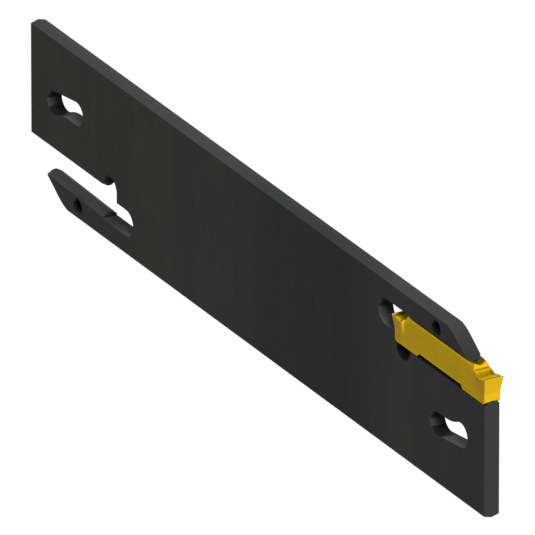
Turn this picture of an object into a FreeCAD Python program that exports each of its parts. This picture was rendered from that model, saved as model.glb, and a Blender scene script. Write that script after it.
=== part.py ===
import FreeCAD, Part
import math
import os

from FreeCAD import Vector

# A double-ended parting-off blade with one insert seated in the pocket of its right-hand end.
#
# The blade lies on one side face. +X runs along it towards the seated insert, +Y runs up its height
# towards the clamping finger of that end, and +Z is the outward normal of the upper side face.
# The origin is the blade's centre of symmetry, on the lower side face. Sizes are in millimetres.
# The blade is the same after half a turn about the Z axis, so each end is cut by the same functions.

# Bar: a flat strip whose long edges are ground to a shallow V that seats in a blade block.
BLADE_LENGTH = 125.0
BLADE_HEIGHT = 26.0
BLADE_THICKNESS = 2.4
EDGE_BEVEL_ANGLE = 15.0

# Pocket: a seat below, a stop wall at the back and a springy finger above. The seat and the finger each
# carry a V-shaped rail with a narrow flat crest. The finger of the empty pocket closes towards its nose
# by a small angle, and the insert springs the other finger open until it lies parallel to the seat.
FINGER_TIP = 3.78
POCKET_MOUTH = 4.8
CLAMP_ANGLE = 1.5
STOP_DEPTH = 24.05
RAIL_FLANK_ANGLE = 30.0
RAIL_CREST_WIDTH = 0.6

# Finger: its blunt nose is set back from the blade's end and slopes up to the V edge through a round.
NOSE_SETBACK = 4.5
NOSE_FLAT = 0.12
NOSE_ANGLE = 35.0
NOSE_ROUND_RADIUS = 8.0
KEY_HOLE_DIAMETER = 2.4
KEY_HOLE_SETBACK = 13.1
KEY_HOLE_DROP = 2.1

# Relief at the foot of the stop wall, and the round-ended slot behind the pocket that frees the finger.
NOTCH_RADIUS = 2.0
FINGER_ROOT = 3.12
SPRING_SLOT_WIDTH = 4.03
SPRING_SLOT_REACH = 28.66

# Necked slot in the other corner of each end: a straight inner part and a round outer eye, set higher.
SLOT_INNER_RADIUS = 1.8
SLOT_INNER_SETBACK = 12.83
SLOT_INNER_DROP = 3.56
SLOT_EYE_RADIUS = 1.85
SLOT_EYE_SETBACK = 6.46
SLOT_EYE_DROP = 2.71
SLOT_NECK_RADIUS = 6.4

# Insert: the same at both ends. It rests on the seat rail by the flanks of its lower V groove, the finger
# rail presses into its upper groove, and its rear heel bears on the stop wall.
INSERT_LENGTH = 24.95
INSERT_HEIGHT = 4.98
INSERT_BODY_WIDTH = 2.55
CUTTING_WIDTH = 3.1
FOOT_LENGTH = 5.75
FOOT_RELIEF = 0.7
FOOT_SLOPE_ANGLE = 45.0
HEEL_INSET = 0.43
HEEL_CHAMFER = 0.42
SIDE_CHAMFER = 0.12
SEAT_LAND_GAP = 0.09
CLAMP_LAND_GAP = 0.24
RAIL_FIT = 0.01
RAIL_CREST_GAP = 0.05
STOP_FIT = 0.03

# Insert head: a clearance face under the edge, then behind it a narrow land, a shallow edge groove, the
# rake face down to the chip groove, and a breaker of a round bead below a steep wall and a dome.
EDGE_DROP = 0.88
CLEARANCE_ANGLE = 10.0
RAKE_ANGLE = 11.0
EDGE_LAND = 0.12
EDGE_GROOVE_WIDTH = 0.75
EDGE_GROOVE_DEPTH = 0.11
CHIP_GROOVE_SETBACK = 2.15
CHIP_GROOVE_RADIUS = 0.3
BREAKER_ANGLE = 45.0
BEAD_SETBACK = 3.0
BEAD_RADIUS = 0.34
BEAD_BACK_ANGLE = 150.0
DOME_SETBACK = 3.75
DOME_RADIUS = 0.4
DOME_WALL_LEAN = 10.0

# Plan of each head: the breaker is narrower than the body. The sides step out over a short shoulder and
# then flare to the cutting width, and both run out into the body below the edge.
BREAKER_WIDTH = 2.15
BREAKER_TAPER_LENGTH = 1.4
FLARE_LENGTH = 2.7
FLARE_DROP = 2.0
SHOULDER_LENGTH = 0.35
SHOULDER_STEP = 0.13

# How far a cutting tool runs past the metal.
OVERRUN = 1.0

# Places worked out from the sizes above.
BLADE_END = BLADE_LENGTH / 2
RIDGE_Y = BLADE_HEIGHT / 2
MID_Z = BLADE_THICKNESS / 2
CORNER_Y = RIDGE_Y - MID_Z * math.tan(math.radians(EDGE_BEVEL_ANGLE))
RAIL_SLOPE = math.tan(math.radians(RAIL_FLANK_ANGLE))
RAIL_RISE = (MID_Z - RAIL_CREST_WIDTH / 2) * RAIL_SLOPE
FREE_CLAMP_Y = RIDGE_Y - FINGER_TIP
SEAT_Y = FREE_CLAMP_Y - POCKET_MOUTH
STOP_X = BLADE_END - STOP_DEPTH
NOSE_X = BLADE_END - NOSE_SETBACK
SLOT_ROOF_Y = RIDGE_Y - FINGER_ROOT
SLOT_FRONT_X = STOP_X + 2 * NOTCH_RADIUS
FOOT_Y = SEAT_Y + SEAT_LAND_GAP
RIM_Y = FOOT_Y + INSERT_HEIGHT
EDGE_Y = RIM_Y - EDGE_DROP
HELD_CLAMP_Y = RIM_Y + CLAMP_LAND_GAP
EDGE_X = STOP_X + STOP_FIT - HEEL_INSET + INSERT_LENGTH
INSERT_MID_X = EDGE_X - INSERT_LENGTH / 2


class Outline:
    """Closed outline in the XY plane, drawn from point to point as straight runs and arcs."""

    def __init__(self, x, y):
        self.start = Vector(x, y, 0)
        self.here = self.start
        self.edges = []

    def line(self, x, y):
        """Draws a straight run from the last point to (x, y)."""
        end = Vector(x, y, 0)
        self.edges.append(Part.LineSegment(self.here, end).toShape())
        self.here = end
        return self

    def arc(self, through, end):
        """Draws an arc from the last point through one point to another, each an (x, y) pair."""
        last = Vector(end[0], end[1], 0)
        middle = Vector(through[0], through[1], 0)
        self.edges.append(Part.Arc(self.here, middle, last).toShape())
        self.here = last
        return self

    def solid(self, low, high):
        """Closes the outline and returns the upright solid between two heights."""
        if not self.here.isEqual(self.start, 1e-6):
            self.line(self.start.x, self.start.y)
        face = Part.Face(Part.Wire(self.edges))
        face.translate(Vector(0, 0, low))
        return face.extrude(Vector(0, 0, high - low))


def along_x(section, start, end):
    """Returns the solid of a closed section, a list of (y, z) pairs, carried from one x to another."""
    corners = [Vector(start, y, z) for y, z in section]
    face = Part.Face(Part.makePolygon(corners + corners[:1]))
    return face.extrude(Vector(end - start, 0, 0))


def polar(centre, radius, degrees):
    """Returns the (x, y) point at an angle and a distance from a centre."""
    turn = math.radians(degrees)
    return centre[0] + radius * math.cos(turn), centre[1] + radius * math.sin(turn)


def half_turn(shape):
    """Returns a copy of a shape turned to the other end of the blade."""
    copy = shape.copy()
    copy.rotate(Vector(0, 0, 0), Vector(0, 0, 1), 180)
    return copy


def bar():
    """Returns the plain strip, six-sided in section with a V along each long edge."""
    section = [
        (-CORNER_Y, 0),
        (-RIDGE_Y, MID_Z),
        (-CORNER_Y, BLADE_THICKNESS),
        (CORNER_Y, BLADE_THICKNESS),
        (RIDGE_Y, MID_Z),
        (CORNER_Y, 0),
    ]
    return along_x(section, -BLADE_END, BLADE_END)


def rail(base_y, rise, start, end):
    """Returns a V rail with a flat crest that stands out of a face at base_y, towards +Y or -Y."""
    root = base_y - math.copysign(OVERRUN, rise)
    half_crest = RAIL_CREST_WIDTH / 2
    section = [
        (root, 0),
        (base_y, 0),
        (base_y + rise, MID_Z - half_crest),
        (base_y + rise, MID_Z + half_crest),
        (base_y, BLADE_THICKNESS),
        (root, BLADE_THICKNESS),
    ]
    return along_x(section, start, end)


def pocket_space(clamp_y, clamp_angle):
    """Returns the metal removed between seat and finger, which leaves the two V rails standing.

    The clamping face stands at clamp_y above the finger's nose and rises inwards by clamp_angle.
    """
    outside = BLADE_END + OVERRUN
    slope = math.tan(math.radians(clamp_angle))
    space = Outline(STOP_X, SEAT_Y)
    space.line(outside, SEAT_Y)
    space.line(outside, clamp_y - (outside - NOSE_X) * slope)
    space.line(STOP_X, clamp_y + (NOSE_X - STOP_X) * slope)
    seat_rail = rail(SEAT_Y, RAIL_RISE, STOP_X + NOTCH_RADIUS, outside)
    finger_rail = rail(clamp_y, -RAIL_RISE, STOP_X + NOTCH_RADIUS, outside)
    finger_rail.rotate(Vector(NOSE_X, clamp_y, 0), Vector(0, 0, 1), -clamp_angle)
    return space.solid(-OVERRUN, BLADE_THICKNESS + OVERRUN).cut(seat_rail).cut(finger_rail)


def nose_space():
    """Returns the metal removed in front of the finger's blunt nose and its slope."""
    outside = BLADE_END + OVERRUN
    above = RIDGE_Y + OVERRUN
    below = (SEAT_Y + FREE_CLAMP_Y) / 2
    nose_y = FREE_CLAMP_Y + NOSE_FLAT
    slope = math.radians(NOSE_ANGLE)
    tangent = NOSE_ROUND_RADIUS * math.tan(slope / 2)
    corner_x = NOSE_X - (RIDGE_Y - nose_y) / math.tan(slope)
    centre = (corner_x - tangent, RIDGE_Y - NOSE_ROUND_RADIUS)
    nose = Outline(NOSE_X, below)
    nose.line(NOSE_X, nose_y)
    nose.line(corner_x + tangent * math.cos(slope), RIDGE_Y - tangent * math.sin(slope))
    nose.arc(polar(centre, NOSE_ROUND_RADIUS, 90 - NOSE_ANGLE / 2), (centre[0], RIDGE_Y))
    nose.line(centre[0], above)
    nose.line(outside, above)
    nose.line(outside, below)
    return nose.solid(-OVERRUN, BLADE_THICKNESS + OVERRUN)


def round_hole(x, y, radius):
    """Returns an upright cylinder through the blade."""
    return Part.makeCylinder(radius, BLADE_THICKNESS + 2 * OVERRUN, Vector(x, y, -OVERRUN))


def stop_notch():
    """Returns the round relief at the foot of the stop wall, centred on the seat line."""
    return round_hole(STOP_X + NOTCH_RADIUS, SEAT_Y, NOTCH_RADIUS)


def spring_slot():
    """Returns the round-ended slot behind the pocket, which also ends the finger's rail."""
    radius = SPRING_SLOT_WIDTH / 2
    centre = (BLADE_END - SPRING_SLOT_REACH + radius, SLOT_ROOF_Y - radius)
    slot = Outline(SLOT_FRONT_X, SLOT_ROOF_Y)
    slot.line(centre[0], SLOT_ROOF_Y)
    slot.arc((centre[0] - radius, centre[1]), (centre[0], centre[1] - radius))
    slot.line(SLOT_FRONT_X, centre[1] - radius)
    return slot.solid(-OVERRUN, BLADE_THICKNESS + OVERRUN)


def necked_slot():
    """Returns the slot below the pocket: straight inner part, concave neck and round outer eye."""
    inner = (BLADE_END - SLOT_INNER_SETBACK, -SLOT_INNER_DROP)
    eye = (BLADE_END - SLOT_EYE_SETBACK, -SLOT_EYE_DROP)
    top = inner[1] + SLOT_INNER_RADIUS
    neck_y = top + SLOT_NECK_RADIUS
    neck_run = math.sqrt((SLOT_NECK_RADIUS + SLOT_EYE_RADIUS) ** 2 - (neck_y - eye[1]) ** 2)
    neck = (eye[0] - neck_run, neck_y)
    neck_end = math.degrees(math.atan2(eye[1] - neck[1], eye[0] - neck[0]))
    span = math.hypot(eye[0] - inner[0], eye[1] - inner[1])
    lean = math.degrees(math.atan2(eye[1] - inner[1], eye[0] - inner[0]))
    under = lean - 90 - math.degrees(math.asin((SLOT_EYE_RADIUS - SLOT_INNER_RADIUS) / span))
    slot = Outline(inner[0], top)
    slot.line(neck[0], top)
    slot.arc(polar(neck, SLOT_NECK_RADIUS, (neck_end - 90) / 2), polar(neck, SLOT_NECK_RADIUS, neck_end))
    eye_middle = (neck_end + 180 + under) / 2
    slot.arc(polar(eye, SLOT_EYE_RADIUS, eye_middle), polar(eye, SLOT_EYE_RADIUS, under))
    slot.line(*polar(inner, SLOT_INNER_RADIUS, under))
    inner_middle = (under - 270) / 2
    slot.arc(polar(inner, SLOT_INNER_RADIUS, inner_middle), polar(inner, SLOT_INNER_RADIUS, -270))
    return slot.solid(-OVERRUN, BLADE_THICKNESS + OVERRUN)


def key_hole():
    """Returns the hole through the finger that the release key's pin enters."""
    return round_hole(BLADE_END - KEY_HOLE_SETBACK, RIDGE_Y - KEY_HOLE_DROP, KEY_HOLE_DIAMETER / 2)


def blade():
    """Returns the whole blade, its +X pocket sprung open by the insert and its -X pocket free."""
    shared = [nose_space(), stop_notch(), spring_slot(), key_hole(), necked_slot()]
    body = bar().cut(pocket_space(HELD_CLAMP_Y, 0))
    body = body.cut(half_turn(pocket_space(FREE_CLAMP_Y, CLAMP_ANGLE)))
    for cut in shared:
        body = body.cut(cut).cut(half_turn(cut))
    return body


def rake_point(setback, lift=0.0):
    """Returns the point of the rake face at a setback from the cutting edge, raised by lift."""
    return EDGE_X - setback, EDGE_Y - setback * math.tan(math.radians(RAKE_ANGLE)) + lift


def breaker_outline(side):
    """Adds the chip groove, the bead and the dome up to the rim to the insert's side outline."""
    wall = math.radians(BREAKER_ANGLE)
    groove = rake_point(CHIP_GROOVE_SETBACK, CHIP_GROOVE_RADIUS / math.cos(math.radians(RAKE_ANGLE)))
    wall_foot = polar(groove, CHIP_GROOVE_RADIUS, 270 - BREAKER_ANGLE)
    side.line(*polar(groove, CHIP_GROOVE_RADIUS, RAKE_ANGLE - 90))
    groove_middle = (RAKE_ANGLE - 90 - 90 - BREAKER_ANGLE) / 2
    side.arc(polar(groove, CHIP_GROOVE_RADIUS, groove_middle), wall_foot)
    bead_x = EDGE_X - BEAD_SETBACK
    wall_run = wall_foot[0] - bead_x - BEAD_RADIUS * math.sin(wall)
    bead = (bead_x, wall_foot[1] + wall_run * math.tan(wall) - BEAD_RADIUS * math.cos(wall))
    side.line(*polar(bead, BEAD_RADIUS, 90 - BREAKER_ANGLE))
    side.arc(polar(bead, BEAD_RADIUS, 90), polar(bead, BEAD_RADIUS, BEAD_BACK_ANGLE))
    dome = (EDGE_X - DOME_SETBACK, RIM_Y - DOME_RADIUS)
    side.line(*polar(dome, DOME_RADIUS, DOME_WALL_LEAN))
    side.arc(polar(dome, DOME_RADIUS, (DOME_WALL_LEAN + 90) / 2), (dome[0], RIM_Y))


def head_outline():
    """Returns the side outline of the insert's front half, from its mid-length to the cutting edge."""
    heel_x = EDGE_X - HEEL_INSET
    foot_x = heel_x - FOOT_LENGTH
    clearance_drop = HEEL_INSET / math.tan(math.radians(CLEARANCE_ANGLE))
    side = Outline(INSERT_MID_X, FOOT_Y + FOOT_RELIEF)
    side.line(foot_x - FOOT_RELIEF / math.tan(math.radians(FOOT_SLOPE_ANGLE)), FOOT_Y + FOOT_RELIEF)
    side.line(foot_x, FOOT_Y)
    side.line(heel_x - HEEL_CHAMFER, FOOT_Y)
    side.line(heel_x, FOOT_Y + HEEL_CHAMFER)
    side.line(heel_x, EDGE_Y - clearance_drop)
    side.line(EDGE_X, EDGE_Y)
    side.line(*rake_point(EDGE_LAND))
    edge_groove_floor = rake_point(EDGE_LAND + EDGE_GROOVE_WIDTH / 2, -EDGE_GROOVE_DEPTH)
    side.arc(edge_groove_floor, rake_point(EDGE_LAND + EDGE_GROOVE_WIDTH))
    breaker_outline(side)
    side.line(INSERT_MID_X, RIM_Y)
    return side


def mirrored_section(half):
    """Returns a closed section, a list of (y, z) pairs, from its half on one side of mid-thickness."""
    right = [(y, MID_Z + z) for y, z in half]
    left = [(y, MID_Z - z) for y, z in reversed(half)]
    return right + left


def width_space():
    """Returns the space that bounds the insert's front half in width, with its side edges broken.

    It is as wide as the body up to the head's root and narrows there, above the edge's height, to the
    breaker. At the edge's height it steps out over the shoulder and flares to the cutting edge.
    """
    body = INSERT_BODY_WIDTH / 2
    breaker = BREAKER_WIDTH / 2
    tip = CUTTING_WIDTH / 2
    flare_x = EDGE_X - FLARE_LENGTH
    breaker_x = EDGE_X - DOME_SETBACK
    wires = []
    for x, edge, rim in (
        (INSERT_MID_X, body, body),
        (breaker_x - BREAKER_TAPER_LENGTH, body, body),
        (breaker_x, body, breaker),
        (flare_x, body, breaker),
        (flare_x + SHOULDER_LENGTH, body + SHOULDER_STEP, breaker),
        (EDGE_X, tip, tip),
    ):
        half = [
            (FOOT_Y, body - SIDE_CHAMFER),
            (FOOT_Y + SIDE_CHAMFER, body),
            (EDGE_Y - FLARE_DROP, body),
            (EDGE_Y, edge),
            (RIM_Y - SIDE_CHAMFER, rim),
            (RIM_Y, rim - SIDE_CHAMFER),
        ]
        corners = [Vector(x, y, z) for y, z in mirrored_section(half)]
        wires.append(Part.makePolygon(corners + corners[:1]))
    return Part.makeLoft(wires, True, True)


def groove_space(clamp_y, rise):
    """Returns the V groove that takes a blade rail, with its fit on the flanks and at the crest."""
    fit = RAIL_FIT / math.cos(math.radians(RAIL_FLANK_ANGLE))
    side = math.copysign(1, rise)
    floor_y = clamp_y + side * (RAIL_RISE + RAIL_CREST_GAP)
    floor_z = RAIL_CREST_WIDTH / 2 + (fit - RAIL_CREST_GAP) / RAIL_SLOPE
    open_y = clamp_y - side * OVERRUN
    open_z = floor_z + (RAIL_RISE + RAIL_CREST_GAP + OVERRUN) / RAIL_SLOPE
    section = [
        (floor_y, MID_Z - floor_z),
        (floor_y, MID_Z + floor_z),
        (open_y, MID_Z + open_z),
        (open_y, MID_Z - open_z),
    ]
    return along_x(section, EDGE_X - INSERT_LENGTH - OVERRUN, EDGE_X + OVERRUN)


def insert():
    """Returns the insert: its front half, mirrored at mid-length, with both V grooves cut through."""
    middle = Vector(INSERT_MID_X, 0, 0)
    half = head_outline().solid(MID_Z - CUTTING_WIDTH / 2, MID_Z + CUTTING_WIDTH / 2)
    half = half.common(width_space())
    whole = half.fuse(half.mirror(middle, Vector(1, 0, 0))).removeSplitter()
    return whole.cut(groove_space(SEAT_Y, RAIL_RISE)).cut(groove_space(HELD_CLAMP_Y, -RAIL_RISE))


def main():
    """Writes each piece to its own file."""
    os.makedirs("parts", exist_ok=True)
    blade().exportStep("parts/blade.step")
    insert().exportStep("parts/insert.step")


main()
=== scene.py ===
import logging
import math
from dataclasses import dataclass
from enum import Enum
from typing import Any, Optional, Union

import bmesh
import bpy
from mathutils import Matrix, Vector


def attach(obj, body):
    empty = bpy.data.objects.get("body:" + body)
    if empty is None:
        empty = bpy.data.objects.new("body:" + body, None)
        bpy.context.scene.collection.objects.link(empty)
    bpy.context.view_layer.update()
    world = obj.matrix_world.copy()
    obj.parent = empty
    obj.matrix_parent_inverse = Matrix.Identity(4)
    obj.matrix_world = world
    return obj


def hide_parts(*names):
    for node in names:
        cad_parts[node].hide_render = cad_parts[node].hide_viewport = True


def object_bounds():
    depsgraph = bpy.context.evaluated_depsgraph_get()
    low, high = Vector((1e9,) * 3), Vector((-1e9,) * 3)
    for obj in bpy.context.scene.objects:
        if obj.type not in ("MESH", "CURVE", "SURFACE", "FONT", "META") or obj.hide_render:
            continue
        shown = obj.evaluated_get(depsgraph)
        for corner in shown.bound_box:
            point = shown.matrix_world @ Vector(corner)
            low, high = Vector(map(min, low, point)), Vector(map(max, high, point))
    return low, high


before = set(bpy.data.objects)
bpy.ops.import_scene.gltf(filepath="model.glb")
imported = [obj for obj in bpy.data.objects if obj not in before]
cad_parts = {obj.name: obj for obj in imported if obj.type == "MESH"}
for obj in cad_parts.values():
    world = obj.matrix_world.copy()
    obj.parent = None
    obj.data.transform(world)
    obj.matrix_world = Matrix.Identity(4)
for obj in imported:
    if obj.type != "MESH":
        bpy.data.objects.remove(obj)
CAD_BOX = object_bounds()

LOG = logging.getLogger("parting_blade")
MM = 0.001
MERGE_DISTANCE = 1e-7
FLAT_ANGLE = math.radians(0.3)
WHITE = (1.0, 1.0, 1.0, 1.0)

# In metres, as all sizes and places here unless their names say otherwise.
BLADE_END = -CAD_BOX[0][0]
INSERT_LENGTH = 0.02495
INSERT_MIDDLE = CAD_BOX[1][0] - INSERT_LENGTH / 2

Number = Union[int, float]


def grey(level: Number) -> tuple:
    """Returns the grey of a level from 0 to 1 as a colour."""
    return (level, level, level, 1.0)


class Axis(Enum):
    """An axis of the part, named as the node that separates a vector names it."""

    ALONG = "X"
    UP = "Y"
    THROUGH = "Z"


class Signal:
    """A shader value for plain arithmetic, where each operation adds a Math node."""

    def __init__(self, tree: "ShaderTree", socket: bpy.types.NodeSocket) -> None:
        """Keeps the socket and the tree that it belongs to.

        Args:
            tree: the tree that new Math nodes are added to.
            socket: the output that carries the value.
        """
        self.tree = tree
        self.socket = socket

    def _math(
        self, operation: str, first: Any, second: Any = 0.0, clamp: bool = False
    ) -> "Signal":
        """Returns the result of a new Math node on two numbers or Signals."""
        settings = {"operation": operation, "use_clamp": clamp}
        return self.tree.node("ShaderNodeMath", settings, {0: first, 1: second})

    def __add__(self, other: Any) -> "Signal":
        """Returns self + other."""
        return self._math("ADD", self, other)

    def __radd__(self, other: Any) -> "Signal":
        """Returns other + self."""
        return self._math("ADD", other, self)

    def __sub__(self, other: Any) -> "Signal":
        """Returns self - other."""
        return self._math("SUBTRACT", self, other)

    def __rsub__(self, other: Any) -> "Signal":
        """Returns other - self."""
        return self._math("SUBTRACT", other, self)

    def __mul__(self, other: Any) -> "Signal":
        """Returns self * other."""
        return self._math("MULTIPLY", self, other)

    def __rmul__(self, other: Any) -> "Signal":
        """Returns other * self."""
        return self._math("MULTIPLY", other, self)

    def __truediv__(self, other: Any) -> "Signal":
        """Returns self / other."""
        return self._math("DIVIDE", self, other)

    def __rtruediv__(self, other: Any) -> "Signal":
        """Returns other / self."""
        return self._math("DIVIDE", other, self)

    def size(self) -> "Signal":
        """Returns the value without its sign."""
        return self._math("ABSOLUTE", self)

    def clamped(self) -> "Signal":
        """Returns the value held between 0 and 1."""
        return self._math("ADD", self, 0.0, clamp=True)

    def between(self, low: Number, high: Number) -> "Signal":
        """Returns the value with low mapped to 0, high to 1, and held between them."""
        settings = {"interpolation_type": "SMOOTHSTEP", "clamp": True}
        return self.tree.node("ShaderNodeMapRange", settings, {0: self, 1: low, 2: high})


class ShaderTree:
    """The node tree of one material or of the world, with one method for every kind of node."""

    def __init__(self, name: str, world: bool = False) -> None:
        """Makes an empty material, or an empty world.

        Args:
            name: its name.
            world: whether it is the world.
        """
        self.owner = (bpy.data.worlds if world else bpy.data.materials).new(name)
        self.output_kind = "ShaderNodeOutputWorld" if world else "ShaderNodeOutputMaterial"
        self.owner.use_nodes = True
        self.nodes = self.owner.node_tree.nodes
        self.links = self.owner.node_tree.links
        self.nodes.clear()

    def node(
        self,
        kind: str,
        settings: Optional[dict] = None,
        inputs: Optional[dict] = None,
        output: Union[int, str] = 0,
    ) -> Signal:
        """Adds a node, sets it up and feeds its sockets.

        Args:
            kind: the node's type.
            settings: properties of the node, and under "stops" a ramp's (position, colour) pairs.
            inputs: a number, a tuple or a Signal for each socket, by index or name.
            output: the output that is returned, by index or name.

        Returns:
            The chosen output.
        """
        node = self.nodes.new(kind)
        for key, value in (settings or {}).items():
            if key == "stops":
                self._set_stops(node, value)
            else:
                setattr(node, key, value)
        for key, value in (inputs or {}).items():
            if isinstance(value, Signal):
                self.links.new(value.socket, node.inputs[key])
            else:
                node.inputs[key].default_value = value
        return Signal(self, node.outputs[output])

    @staticmethod
    def _set_stops(node: bpy.types.Node, stops: tuple) -> None:
        """Sets the stops of a colour ramp.

        Args:
            node: the ramp's node.
            stops: (position, (r, g, b, a)) pairs in rising order.
        """
        elements = node.color_ramp.elements
        while len(elements) < len(stops):
            elements.new(0.5)
        for element, (position, colour) in zip(elements, stops):
            element.position = position
            element.color = colour

    def place(self, stretch: tuple = (1.0, 1.0, 1.0)) -> Signal:
        """Returns the position on the piece, each axis multiplied by its stretch."""
        coordinates = self.node("ShaderNodeTexCoord", {}, {}, "Object")
        return self.node("ShaderNodeMapping", {}, {"Vector": coordinates, "Scale": stretch})

    def blend(self, factor: Any, low: Any, high: Any) -> Signal:
        """Returns a mix of two colours, low where the factor is 0 and high where it is 1."""
        settings = {"data_type": "RGBA", "blend_type": "MIX", "clamp_factor": True}
        return self.node("ShaderNodeMix", settings, {0: factor, 6: low, 7: high}, 2)

    def bump(self, height: Signal, distance: Number, strength: Number, **under: Signal) -> Signal:
        """Returns the normal of a height, where 1 measures distance, over a Normal under it."""
        inputs = {"Strength": strength, "Distance": distance, "Height": height, **under}
        return self.node("ShaderNodeBump", {}, inputs)

    def edge_mask(self, radius: Number, low: Number, high: Number) -> Signal:
        """Returns a mask of the sharp edges, where a rounded normal leaves the true one.

        Args:
            radius: how far from the edge the mask reaches, in metres.
            low: the difference of the normals at which the mask starts.
            high: the difference at which it is full.

        Returns:
            The mask, 1 on an edge and 0 on a flat face.
        """
        rounded = self.node("ShaderNodeBevel", {"samples": 8}, {"Radius": radius})
        true = self.node("ShaderNodeNewGeometry", {}, {}, "True Normal")
        product = {"operation": "DOT_PRODUCT"}
        dot = self.node("ShaderNodeVectorMath", product, {0: rounded, 1: true}, "Value")
        return (1.0 - dot).between(low, high)

    def facing(self, axis: Axis) -> Signal:
        """Returns how much the surface faces along an axis of the piece.

        Args:
            axis: the axis.

        Returns:
            That part of the true normal, from -1 to 1.
        """
        true = self.node("ShaderNodeNewGeometry", {}, {}, "True Normal")
        turned = self.node("ShaderNodeVectorTransform", {"vector_type": "NORMAL"}, {0: true})
        return self.node("ShaderNodeSeparateXYZ", {}, {0: turned}, axis.value)

    def position(self, axis: Axis) -> Signal:
        """Returns the position along an axis of the piece."""
        return self.node("ShaderNodeSeparateXYZ", {}, {0: self.place()}, axis.value)

    def seen_directly(self) -> Signal:
        """Tells the rays that show the background: the camera's, and those of gloss and glass.

        Returns:
            1 for such a ray and 0 for the light's own.
        """
        rays = [f"Is {name} Ray" for name in ("Camera", "Glossy", "Transmission")]
        camera, glossy, through = (self.node("ShaderNodeLightPath", {}, {}, ray) for ray in rays)
        return (camera + glossy + through).clamped()

    def finish(self, inputs: dict) -> bpy.types.Material:
        """Returns the material whose surface shader has these values or Signals."""
        return self.output(self.node("ShaderNodeBsdfPrincipled", {}, inputs))

    def output(self, surface: Signal) -> Union[bpy.types.Material, bpy.types.World]:
        """Adds the output node.

        Args:
            surface: the shader that the surface shows.

        Returns:
            The finished material or world.
        """
        node = self.nodes.new(self.output_kind)
        self.links.new(surface.socket, node.inputs["Surface"])
        return self.owner


@dataclass(frozen=True)
class Pattern:
    """A noise pattern on a piece, and the span of the noise that is mapped to 0 and 1."""

    scale: float
    detail: float
    rough: float
    stretch: tuple = (1.0, 1.0, 1.0)
    span: Optional[tuple] = None

    def on(self, tree: ShaderTree) -> Signal:
        """Returns the pattern in a material.

        Args:
            tree: the material's tree.

        Returns:
            The value, from 0 to 1.
        """
        inputs = {
            "Vector": tree.place(self.stretch),
            "Scale": self.scale,
            "Detail": self.detail,
            "Roughness": self.rough,
        }
        noise = tree.node("ShaderNodeTexNoise", {"normalize": True}, inputs)
        return noise.between(*self.span) if self.span else noise


@dataclass(frozen=True)
class Gap:
    """How open the surroundings of a point may be before it no longer counts as inside a gap."""

    reach: float
    closed_below: float
    open_above: float
    own_surface: bool = False
    samples: int = 16

    def on(self, tree: ShaderTree) -> Signal:
        """Returns the mask of the gaps in a material.

        Args:
            tree: the material's tree.

        Returns:
            The mask, 1 in a narrow gap and 0 on an open face.
        """
        settings = {"samples": self.samples, "only_local": self.own_surface}
        inputs = {"Color": WHITE, "Distance": self.reach}
        share = tree.node("ShaderNodeAmbientOcclusion", settings, inputs, "AO")
        return 1 - share.between(self.closed_below, self.open_above)


@dataclass(frozen=True)
class DimPlace:
    """A stretch of the blade's walls that lies in shade, from low to high along two axes.

    A wall is in shade from where it is turned up by this share, 0.5 for one that stands upright.
    """

    along: tuple
    up: tuple
    turned: float
    fade: float = 0.0005
    turn_fade: float = 0.10

    def on(self, tree: ShaderTree, turn: Signal) -> Signal:
        """Returns the mask of the stretch.

        Args:
            tree: the material's tree.
            turn: how far the wall faces up, from 0 to 1.

        Returns:
            The mask, 1 where the wall is dim.
        """
        inside = turn.between(self.turned, self.turned + self.turn_fade)
        for axis, (low, high) in ((Axis.ALONG, self.along), (Axis.UP, self.up)):
            place = tree.position(axis)
            inside = inside * place.between(low - self.fade, low + self.fade)
            inside = inside * place.between(high + self.fade, high - self.fade)
        return inside

    def at_other_end(self) -> "DimPlace":
        """Returns the same stretch at the blade's other end, half a turn round."""
        along, up = ((-high, -low) for low, high in (self.along, self.up))
        return DimPlace(along, up, self.turned, self.fade, self.turn_fade)


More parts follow.
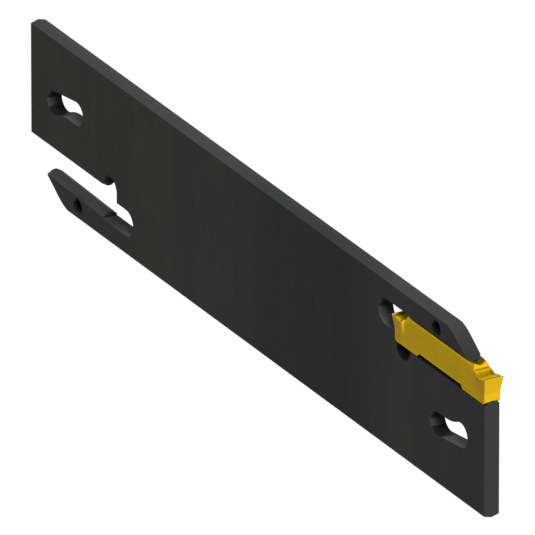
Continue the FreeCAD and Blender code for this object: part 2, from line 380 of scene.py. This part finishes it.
@dataclass(frozen=True)
class BlackenedSteel:
    """Finish of the blade: black-oxidised tool steel with faint bands across the strip.

    The colours come first, then the places in metres, the patterns, and how much of each shows.
    """

    cool: tuple = (0.0345, 0.0352, 0.0355, 1.0)
    warm: tuple = (0.0410, 0.0388, 0.0350, 1.0)
    deep: tuple = (0.0200, 0.0225, 0.0216, 1.0)
    # Dark tone for the steel's own bands and patches, and painted shade on the nose and finger.
    shadow: tuple = (0.0190, 0.0192, 0.0194, 1.0)
    ground: tuple = (0.0590, 0.0592, 0.0590, 1.0)
    ground_deep: tuple = (0.0460, 0.0475, 0.0480, 1.0)
    edge: tuple = (0.0900, 0.0900, 0.0890, 1.0)
    end: tuple = (0.0440, 0.0458, 0.0475, 1.0)
    painted_contact_shade: tuple = (0.0040, 0.0042, 0.0046, 1.0)
    dim: tuple = (0.0070, 0.0069, 0.0067, 1.0)
    painted_wall_light_and_shade: tuple = (
        (0.00, (0.0060, 0.0062, 0.0070, 1.0)),
        (0.22, (0.1100, 0.1180, 0.1220, 1.0)),
        (0.34, (0.0300, 0.0320, 0.0350, 1.0)),
        (0.44, (0.0070, 0.0074, 0.0085, 1.0)),
        (0.54, (0.0620, 0.0670, 0.0740, 1.0)),
        (0.74, (0.0560, 0.0590, 0.0630, 1.0)),
        (1.00, (0.1050, 0.1050, 0.1040, 1.0)),
    )

    deep_middle: float = 0.015
    deep_reach: float = 0.024
    warm_end: tuple = (0.010, -0.050)
    nose: tuple = ((BLADE_END - 0.0115, BLADE_END - 0.0050), (0.0060, 0.0070))
    free_finger: tuple = ((0.0265 - BLADE_END, 0.0225 - BLADE_END), (-0.0040, -0.0050))
    slot_left: DimPlace = DimPlace((0.0025 - BLADE_END, 0.0090 - BLADE_END), (0.0, 0.0060), 0.74)
    slot_right: DimPlace = DimPlace((BLADE_END - 0.0160, BLADE_END - 0.0115), (-0.0060, 0.0), 0.74)
    insert_seat: DimPlace = DimPlace((BLADE_END - 0.0270, CAD_BOX[1][0]), (0.0010, 0.0056), 0.60)
    key_hole: DimPlace = DimPlace((BLADE_END - 0.0150, BLADE_END - 0.0112), (0.0095, 0.0122), 0.40)

    wide_bands: Pattern = Pattern(62.0, 2.0, 0.5, (1.0, 0.06, 0.3), (0.33, 0.66))
    fine_bands: Pattern = Pattern(520.0, 3.0, 0.6, (1.0, 0.04, 0.3), (0.30, 0.72))
    tint: Pattern = Pattern(85.0, 3.0, 0.5, (1.0, 0.25, 0.5), (0.38, 0.62))
    cloud: Pattern = Pattern(150.0, 4.0, 0.6, span=(0.35, 0.70))
    speck: Pattern = Pattern(2600.0, 2.0, 0.6, span=(0.40, 0.75))
    chipped: Pattern = Pattern(700.0, 3.0, 0.6, span=(0.30, 0.62))
    grain: Pattern = Pattern(4200.0, 3.0, 0.6, (1.0, 0.08, 1.0))
    satin: Pattern = Pattern(900.0, 3.0, 0.6, (1.0, 0.30, 1.0))

    side_facing: tuple = (0.90, 0.97)
    end_facing: tuple = (0.92, 0.99)
    worn_edge: tuple = (0.00009, 0.03, 0.30)
    cut_gap: Gap = Gap(0.00600, 0.60, 0.93, own_surface=True)
    contact_shade_gap: Gap = Gap(0.00070, 0.40, 0.90)

    wide_share: float = 0.55
    tint_share: float = 0.5
    deep_share: float = 0.9
    band_share: float = 0.40
    cloud_share: float = 0.20
    ground_share: float = 0.6
    ground_cloud_share: float = 0.3
    speck_share: float = 0.16
    edge_share: float = 0.55
    end_shade_share: float = 0.8
    wall_light_and_shade_share: float = 0.95
    dim_share: float = 0.90
    nose_shade_share: float = 0.60
    finger_shade_share: float = 0.22
    contact_shade_share: float = 0.70

    roughness: float = 0.40
    satin_roughness: float = 0.16
    band_roughness: float = 0.05
    specular: float = 0.02
    grain_height: float = 0.000005
    grain_strength: float = 0.30

    def tone(self, tree: ShaderTree) -> Signal:
        """Returns the slow change of tone along the strip, 1 where it is deepest."""
        offset = (tree.position(Axis.ALONG) - self.deep_middle) / self.deep_reach
        return (1 - offset * offset).between(0.0, 1.0)

    def bands(self, tree: ShaderTree) -> Signal:
        """Returns the faint bands that run across the strip, from 0 to 1."""
        wide = self.wide_bands.on(tree) * self.wide_share
        return wide + self.fine_bands.on(tree) * (1 - self.wide_share)

    def patch(self, tree: ShaderTree, spans: tuple) -> Signal:
        """Returns the mask of a stretch of the strip that fades in along two axes.

        Args:
            tree: the material's tree.
            spans: where the stretch starts and is full, along the strip and up.

        Returns:
            The mask, 1 in the stretch.
        """
        along, up = spans
        mask = tree.position(Axis.ALONG).between(*along)
        return mask * tree.position(Axis.UP).between(*up)

    def sides(self, tree: ShaderTree, tone: Signal, bands: Signal, cloud: Signal) -> Signal:
        """Returns the colour of the strip's flat sides.

        Args:
            tree: the material's tree.
            tone: the slow change along the strip.
            bands: the bands across it.
            cloud: the uneven patches.

        Returns:
            The colour.
        """
        warmth = tree.position(Axis.ALONG).between(*self.warm_end) * (1 - self.tint_share)
        colour = tree.blend(self.tint.on(tree) * self.tint_share + warmth, self.cool, self.warm)
        colour = tree.blend(tone * self.deep_share, colour, self.deep)
        return tree.blend(bands * self.band_share + cloud * self.cloud_share, colour, self.shadow)

    def walls(self, tree: ShaderTree, colour: Signal, walls: Signal) -> Signal:
        """Returns the colour with painted light and shade on the cut walls.

        Args:
            tree: the material's tree.
            colour: the colour so far.
            walls: the mask of the ground and cut walls.

        Returns:
            The colour.
        """
        turn = tree.facing(Axis.UP) * 0.5 + 0.5
        # Painted light and shade: deep in the holes, a wall's tone follows the way it faces.
        cut = tree.node("ShaderNodeValToRGB", {"stops": self.painted_wall_light_and_shade}, {0: turn})
        colour = tree.blend(self.cut_gap.on(tree) * walls * self.wall_light_and_shade_share, colour, cut)
        holes = (self.key_hole, self.key_hole.at_other_end())
        dim = self.slot_left.on(tree, turn)
        for place in (self.slot_right, self.insert_seat, *holes):
            dim = dim + place.on(tree, turn)
        colour = tree.blend(dim.clamped() * walls * self.dim_share, colour, self.dim)
        # Painted shade on the walls of the nose and of the free finger.
        shaded = self.patch(tree, self.nose) * self.nose_shade_share
        shaded = shaded + self.patch(tree, self.free_finger) * self.finger_shade_share
        return tree.blend(shaded * walls, colour, self.shadow)

    def material(self) -> bpy.types.Material:
        """Makes the finish.

        Returns:
            The material.
        """
        tree = ShaderTree("blackened_steel")
        bands, tone, cloud = self.bands(tree), self.tone(tree), self.cloud.on(tree)
        walls = 1 - tree.facing(Axis.THROUGH).size().between(*self.side_facing)
        base = self.sides(tree, tone, bands, cloud)
        ground = tree.blend(tone, self.ground, self.ground_deep)
        uneven = cloud * self.ground_cloud_share + self.ground_share
        base = tree.blend(walls * uneven, base, ground)
        base = tree.blend(self.speck.on(tree) * self.speck_share, base, self.ground)
        wear = tree.edge_mask(*self.worn_edge) * self.chipped.on(tree)
        base = tree.blend(wear * self.edge_share, base, self.edge)
        # Painted shade: the end faces are kept darker than the other ground walls.
        ends = tree.facing(Axis.ALONG).size().between(*self.end_facing)
        base = tree.blend(ends * self.end_shade_share, base, self.end)
        base = self.walls(tree, base, walls)
        # Painted shade: near-black in the narrow gaps between the blade and what lies close to it.
        base = tree.blend(self.contact_shade_gap.on(tree) * self.contact_shade_share, base, self.painted_contact_shade)
        satin = self.satin.on(tree) * self.satin_roughness + bands * self.band_roughness
        return tree.finish(
            {
                "Base Color": base,
                "Metallic": 0.0,
                "Roughness": satin + self.roughness,
                "Specular IOR Level": self.specular,
                "Normal": tree.bump(self.grain.on(tree), self.grain_height, self.grain_strength),
            }
        )


@dataclass(frozen=True)
class GoldCoating:
    """Finish of the insert: ground carbide, gold-coloured coating, painted highlights on its
    edges.

    The colours come first, then the places in metres, the patterns, and how much of each shows.
    Places along the insert are distances from its middle.
    """

    face: tuple = (0.560, 0.350, 0.0010, 1.0)
    olive: tuple = (0.465, 0.338, 0.0010, 1.0)
    amber: tuple = (0.590, 0.290, 0.0015, 1.0)
    painted_flank_light: tuple = (0.900, 0.515, 0.0120, 1.0)
    flare: tuple = (0.560, 0.270, 0.0020, 1.0)
    # Painted highlight for the sharp edges.
    edge: tuple = (0.880, 0.620, 0.0500, 1.0)
    painted_crease_highlight: tuple = (1.000, 0.640, 0.0600, 1.0)
    painted_groove_shade: tuple = (0.180, 0.090, 0.0010, 1.0)
    painted_seat_shade: tuple = (0.050, 0.026, 0.0015, 1.0)
    specular_tint: tuple = (1.0, 0.80, 0.10, 1.0)

    rear_fade: float = 0.001
    ridge: tuple = (0.009775, 0.010125, 0.010125, 0.012400)
    flare_rise: tuple = (0.0056, 0.0088)
    flare_fade: float = 0.0010
    seat_end: float = 0.0084
    seat_fade: float = 0.0006
    crease: tuple = (0.00935, 0.00970, 0.01010, 0.01060)
    chip_groove: tuple = (0.00965, 0.01000, 0.01045, 0.01080)
    edge_groove: tuple = (0.01155, 0.01185, 0.01215, 0.01235)

    olive_cloud: Pattern = Pattern(300.0, 3.0, 0.5, span=(0.44, 0.66))
    amber_cloud: Pattern = Pattern(430.0, 3.0, 0.5, (0.4, 1.0, 1.0), (0.46, 0.68))
    grinding: Pattern = Pattern(2600.0, 2.0, 0.5, (0.5, 6.0, 1.0))
    satin: Pattern = Pattern(1100.0, 3.0, 0.5)

    side_facing: tuple = (0.75, 0.90)
    top_facing: tuple = (0.30, 0.50)
    land_facing: tuple = (0.50, 0.92)
    flank_facing: tuple = (0.80, 0.93)
    edge_highlight_reach: tuple = (0.00026, 0.003, 0.035)
    narrow_gap_shade: Gap = Gap(0.00045, 0.35, 0.90)
    wide_gap_shade: Gap = Gap(0.00220, 0.25, 0.75)

    olive_share: float = 0.6
    amber_share: float = 0.5
    flare_share: float = 0.35
    flank_light_share: float = 0.9
    edge_share: float = 0.75
    crease_highlight_share: float = 0.85
    groove_shade_share: float = 0.65
    narrow_gap_shade_share: float = 0.80
    deep_share: float = 0.85
    seat_shade_share: float = 0.92

    roughness: float = 0.23
    satin_roughness: float = 0.16
    metallic: float = 0.06
    specular: float = 0.02
    crease_height: float = 0.00020
    crease_strength: float = 1.0
    grinding_height: float = 0.000004
    grinding_strength: float = 0.22

    def band(self, place: Signal, stops: tuple) -> Signal:
        """Returns a band that starts, is full, starts to fade and ends at its four stops."""
        start, full, fading, end = stops
        return place.between(start, full) * place.between(end, fading)

    def crease_highlight(self, tree: ShaderTree, place: Signal, side: Signal) -> Signal:
        """Returns the painted highlight on the crease at which the rear head starts to flare.

        Args:
            tree: the material's tree.
            place: the distance from the insert's middle.
            side: the mask of the two flat sides.

        Returns:
            The mask, 1 on the crease.
        """
        rise = tree.position(Axis.UP).between(*self.flare_rise)
        rear = tree.position(Axis.ALONG).between(INSERT_MIDDLE, INSERT_MIDDLE - self.rear_fade)
        return self.band(place, self.crease) * side * rise * rear

    def groove_and_gap_shade(self, tree: ShaderTree, place: Signal, top: Signal) -> Signal:
        """Returns the mask of the painted shade in the grooves on top and in the narrow gaps.

        Args:
            tree: the material's tree.
            place: the distance from the insert's middle.
            top: the mask of the faces that look up.

        Returns:
            The mask, 1 where it is darkest.
        """
        grooves = self.band(place, self.chip_groove) + self.band(place, self.edge_groove)
        dark = grooves * top * self.groove_shade_share
        dark = dark + self.narrow_gap_shade.on(tree) * self.narrow_gap_shade_share
        return (dark + self.wide_gap_shade.on(tree) * top * self.deep_share).clamped()

    def colour(self, tree: ShaderTree, place: Signal, side: Signal) -> Signal:
        """Returns the coating's colour.

        Args:
            tree: the material's tree.
            place: the distance from the insert's middle.
            side: the mask of the two flat sides.

        Returns:
            The colour.
        """
        up = tree.facing(Axis.UP)
        colour = tree.blend(self.olive_cloud.on(tree) * self.olive_share, self.face, self.olive)
        colour = tree.blend(self.amber_cloud.on(tree) * self.amber_share, colour, self.amber)
        head = self.ridge[1]
        flare = place.between(head, head + self.flare_fade) * side
        colour = tree.blend(flare * self.flare_share, colour, self.flare)
        # Painted light: the end flanks are made brighter than the sides.
        painted_flank_light = tree.facing(Axis.ALONG).size().between(*self.flank_facing)
        colour = tree.blend(painted_flank_light * self.flank_light_share, colour, self.painted_flank_light)
        # Painted highlight along the sharp edges.
        edges = tree.edge_mask(*self.edge_highlight_reach)
        colour = tree.blend(edges * self.edge_share, colour, self.edge)
        # Painted highlight on the crease of the rear head.
        painted_crease_highlight = self.crease_highlight(tree, place, side)
        colour = tree.blend(painted_crease_highlight * self.crease_highlight_share, colour, self.painted_crease_highlight)
        top = up.between(*self.top_facing)
        # Painted shade in the grooves on top and in the gaps by the blade and finger.
        colour = tree.blend(self.groove_and_gap_shade(tree, place, top), colour, self.painted_groove_shade)
        # Painted shade on the top and bottom lands along the middle of the insert.
        seated = place.between(self.seat_end + self.seat_fade, self.seat_end)
        land = up.size().between(*self.land_facing) * seated
        return tree.blend(land * self.seat_shade_share, colour, self.painted_seat_shade)

    def normal(self, tree: ShaderTree, place: Signal, side: Signal) -> Signal:
        """Returns the normal: grinding marks, and a sharper crease where the heads flare.

        Args:
            tree: the material's tree.
            place: the distance from the insert's middle.
            side: the mask of the two flat sides.

        Returns:
            The normal.
        """
        rise = tree.position(Axis.UP).between(*self.flare_rise)
        step = self.band(place, self.ridge) * side * rise
        crease = tree.bump(step, self.crease_height, self.crease_strength)
        marks = self.grinding.on(tree)
        return tree.bump(marks, self.grinding_height, self.grinding_strength, Normal=crease)

    def material(self) -> bpy.types.Material:
        """Makes the finish.

        Returns:
            The material.
        """
        tree = ShaderTree("gold_coated_carbide")
        place = (tree.position(Axis.ALONG) - INSERT_MIDDLE).size()
        side = tree.facing(Axis.THROUGH).size().between(*self.side_facing)
        return tree.finish(
            {
                "Base Color": self.colour(tree, place, side),
                "Metallic": self.metallic,
                "Roughness": self.satin.on(tree) * self.satin_roughness + self.roughness,
                "Specular IOR Level": self.specular,
                "Specular Tint": self.specular_tint,
                "Normal": self.normal(tree, place, side),
            }
        )


@dataclass
class Piece:
    """A solid of the frame, dressed as a copy whose sharp edges are slightly eased."""

    node: str
    finish: Union[BlackenedSteel, GoldCoating]
    easing: float
    sharp_degrees: float
    held_apart: bool
    easing_steps: int = 2

    def merged_mesh(self) -> bpy.types.Mesh:
        """Returns a merged copy of the solid's mesh, with whole flat faces.

        Returns:
            The copy.
        """
        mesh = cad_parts[self.node].data.copy()
        form = bmesh.new()
        form.from_mesh(mesh)
        bmesh.ops.remove_doubles(form, verts=form.verts, dist=MERGE_DISTANCE)
        bmesh.ops.dissolve_limit(
            form, angle_limit=FLAT_ANGLE, verts=form.verts, edges=form.edges
        )
        form.to_mesh(mesh)
        form.free()
        mesh.shade_smooth()
        mesh.set_sharp_from_angle(angle=math.radians(self.sharp_degrees))
        return mesh

    def build(self) -> bpy.types.Object:
        """Makes the dressed copy, which stands for the solid.

        Returns:
            The copy's object.
        """
        mesh = self.merged_mesh()
        mesh.materials.clear()
        mesh.materials.append(self.finish.material())
        piece = bpy.data.objects.new(f"dressed_{self.node}", mesh)
        bpy.context.scene.collection.objects.link(piece)
        easing = piece.modifiers.new("eased_edges", "BEVEL")
        easing.width = self.easing
        easing.segments = self.easing_steps
        easing.limit_method = "ANGLE"
        easing.angle_limit = math.radians(self.sharp_degrees)
        easing.use_clamp_overlap = self.held_apart
        easing.harden_normals = True
        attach(piece, "root")
        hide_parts(self.node)
        faces = len(mesh.polygons)
        LOG.info("%s: %d faces, edges eased by %.3f mm", self.node, faces, self.easing / MM)
        return piece


@dataclass
class Blade(Piece):
    """The reversible blade, one strip with a sprung finger over the pocket at each end."""

    node: str = "blade"
    finish: BlackenedSteel = BlackenedSteel()
    easing: float = 0.00004
    sharp_degrees: float = 24.0
    held_apart: bool = False


@dataclass
class Insert(Piece):
    """The double-ended cutting insert, whose eased edges are held apart at its fine grooves."""

    node: str = "insert"
    finish: GoldCoating = GoldCoating()
    easing: float = 0.00003
    sharp_degrees: float = 15.0
    held_apart: bool = True


@dataclass(frozen=True)
class Lamp:
    """A broad, soft lamp far from the object."""

    name: str
    towards: tuple
    strength: float
    softness: float

    def build(self) -> bpy.types.Object:
        """Makes the lamp.

        Returns:
            The lamp's object.
        """
        data = bpy.data.lights.new(self.name, "SUN")
        data.energy = self.strength
        data.angle = self.softness
        lamp = bpy.data.objects.new(self.name, data)
        bpy.context.scene.collection.objects.link(lamp)
        direction = Vector(self.towards).normalized()
        lamp.rotation_mode = "QUATERNION"
        lamp.rotation_quaternion = direction.to_track_quat("Z", "Y")
        lamp.location = direction
        return lamp


@dataclass
class Studio:
    """Floor, lamps, surroundings and camera, in metres."""

    floor_height: float = -0.00036
    floor_half_width: float = 3.0
    floor_tone: float = 0.42
    floor_glow: float = 0.985
    floor_shade: float = 0.05
    surround: float = 0.17
    background: float = 1.0
    camera_place: tuple = (2.7522295, 1.5334967, 1.63022496)
    camera_right: tuple = (0.509514406, 0.000116138, -0.860465096)
    camera_up: tuple = (-0.3721567, 0.9016726, -0.22024728)
    lens_mm: float = 1700.0
    sensor_mm: float = 36.0
    nearest: float = 0.5
    farthest: float = 20.0
    lamps: tuple = (
        Lamp("key", (0.77, 0.63, 0.07), strength=5.0, softness=0.6),
        Lamp("fill", (-0.15, 0.62, 0.77), strength=0.9, softness=0.8),
    )

    def floor_material(self) -> bpy.types.Material:
        """Makes the floor's finish: white to the camera, and clear from below.

        Returns:
            The material.
        """
        tree = ShaderTree("studio_floor")
        plain = tree.node("ShaderNodeBsdfDiffuse", {}, {"Color": grey(self.floor_tone)})
        faint = tree.node("ShaderNodeBsdfDiffuse", {}, {"Color": grey(self.floor_shade)})
        light = {"Color": WHITE, "Strength": self.floor_glow}
        glow = tree.node("ShaderNodeEmission", {}, light)
        white = tree.node("ShaderNodeAddShader", {}, {0: faint, 1: glow})
        seen = {0: tree.seen_directly(), 1: plain, 2: white}
        above = tree.node("ShaderNodeMixShader", {}, seen)
        below = tree.node("ShaderNodeBsdfTransparent")
        under = tree.node("ShaderNodeNewGeometry", {}, {}, "Backfacing")
        return tree.output(tree.node("ShaderNodeMixShader", {}, {0: under, 1: above, 2: below}))

    def floor(self) -> bpy.types.Object:
        """Makes the pale floor, which still grows darker in the object's shadow.

        Returns:
            The floor's object.
        """
        mesh = bpy.data.meshes.new("floor")
        far = self.floor_half_width
        corners = [(-far, -far), (far, -far), (far, far), (-far, far)]
        points = [(x, y, self.floor_height) for x, y in corners]
        mesh.from_pydata(points, [], [(0, 1, 2, 3)])
        mesh.materials.append(self.floor_material())
        floor = bpy.data.objects.new("floor", mesh)
        bpy.context.scene.collection.objects.link(floor)
        return floor

    def surroundings(self) -> bpy.types.World:
        """Makes the surroundings: the white background, and a soft grey light on the object.

        Returns:
            The world.
        """
        tree = ShaderTree("studio", world=True)
        soft, white = (
            tree.node("ShaderNodeBackground", {}, {"Color": WHITE, "Strength": strength})
            for strength in (self.surround, self.background)
        )
        seen = {0: tree.seen_directly(), 1: soft, 2: white}
        world = tree.output(tree.node("ShaderNodeMixShader", {}, seen))
        bpy.context.scene.world = world
        return world

    def camera(self) -> bpy.types.Object:
        """Makes the long-lens camera at the photograph's viewing angle.

        Returns:
            The camera's object.
        """
        data = bpy.data.cameras.new("camera")
        data.sensor_width = self.sensor_mm
        data.lens = self.lens_mm
        data.clip_start = self.nearest
        data.clip_end = self.farthest
        camera = bpy.data.objects.new("camera", data)
        bpy.context.scene.collection.objects.link(camera)
        right = Vector(self.camera_right).normalized()
        up = Vector(self.camera_up)
        up = (up - right * up.dot(right)).normalized()
        turn = Matrix((right, up, right.cross(up))).transposed().to_4x4()
        camera.matrix_world = Matrix.Translation(Vector(self.camera_place)) @ turn
        bpy.context.scene.camera = camera
        return camera

    def build(self) -> None:
        """Makes the whole studio and sets how colours are shown."""
        self.floor()
        self.surroundings()
        for lamp in self.lamps:
            lamp.build()
        self.camera()
        bpy.context.scene.view_settings.view_transform = "Standard"
        LOG.info("studio: floor, %d lamps, camera", len(self.lamps))


def main() -> None:
    """Builds the studio and the two pieces in order."""
    logging.basicConfig(level=logging.INFO, format="%(name)s %(message)s")
    Studio().build()
    for piece in (Blade(), Insert()):
        piece.build()


if __name__ == "__main__":
    main()
